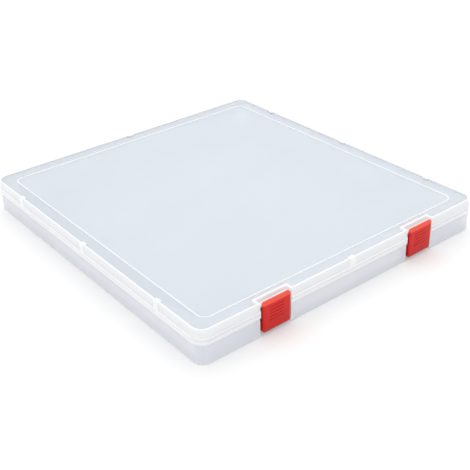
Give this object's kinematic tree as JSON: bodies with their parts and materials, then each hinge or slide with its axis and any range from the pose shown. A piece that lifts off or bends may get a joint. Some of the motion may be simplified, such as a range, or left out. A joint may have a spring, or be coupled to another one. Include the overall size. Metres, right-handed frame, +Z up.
{
  "type": "storage box",
  "caption": "Flat translucent hinged storage box for square sheets, with a tray, a recessed lid, front snap latches and pinned back hinges.",
  "frame": {"origin": "under the middle of the whole box, latches and hinges included, on the plane that its feet stand on", "axes": "+X to the right seen from the front, +Y from the latches to the hinges, +Z up"},
  "size_m": [0.33, 0.3596, 0.0335],
  "materials": {
    "clear_plastic": "frosted translucent polypropylene",
    "red_plastic": "satin moulded",
    "steel_pin": "drawn wire"
  },
  "bodies": {
    "base": {"base_tray": "clear_plastic", "hinge_pin_left": "steel_pin", "hinge_pin_right": "steel_pin"},
    "lid": {"lid": "clear_plastic"},
    "latch_left": {"latch_left": "red_plastic"},
    "latch_right": {"latch_right": "red_plastic"}
  },
  "joints": [
    {"name": "lid_hinge", "type": "hinge", "parent": "base", "child": "lid", "pos_m": [0, 0.1774, 0.02285], "axis": [-1, 0, 0], "range_deg": [0, 180]},
    {"name": "latch_left_pivot", "type": "hinge", "parent": "base", "child": "latch_left", "pos_m": [-0.087, -0.176, 0.008], "axis": [1, 0, 0], "range_deg": [0, 90]},
    {"name": "latch_right_pivot", "type": "hinge", "parent": "base", "child": "latch_right", "pos_m": [0.087, -0.176, 0.008], "axis": [1, 0, 0], "range_deg": [0, 90]}
  ]
}
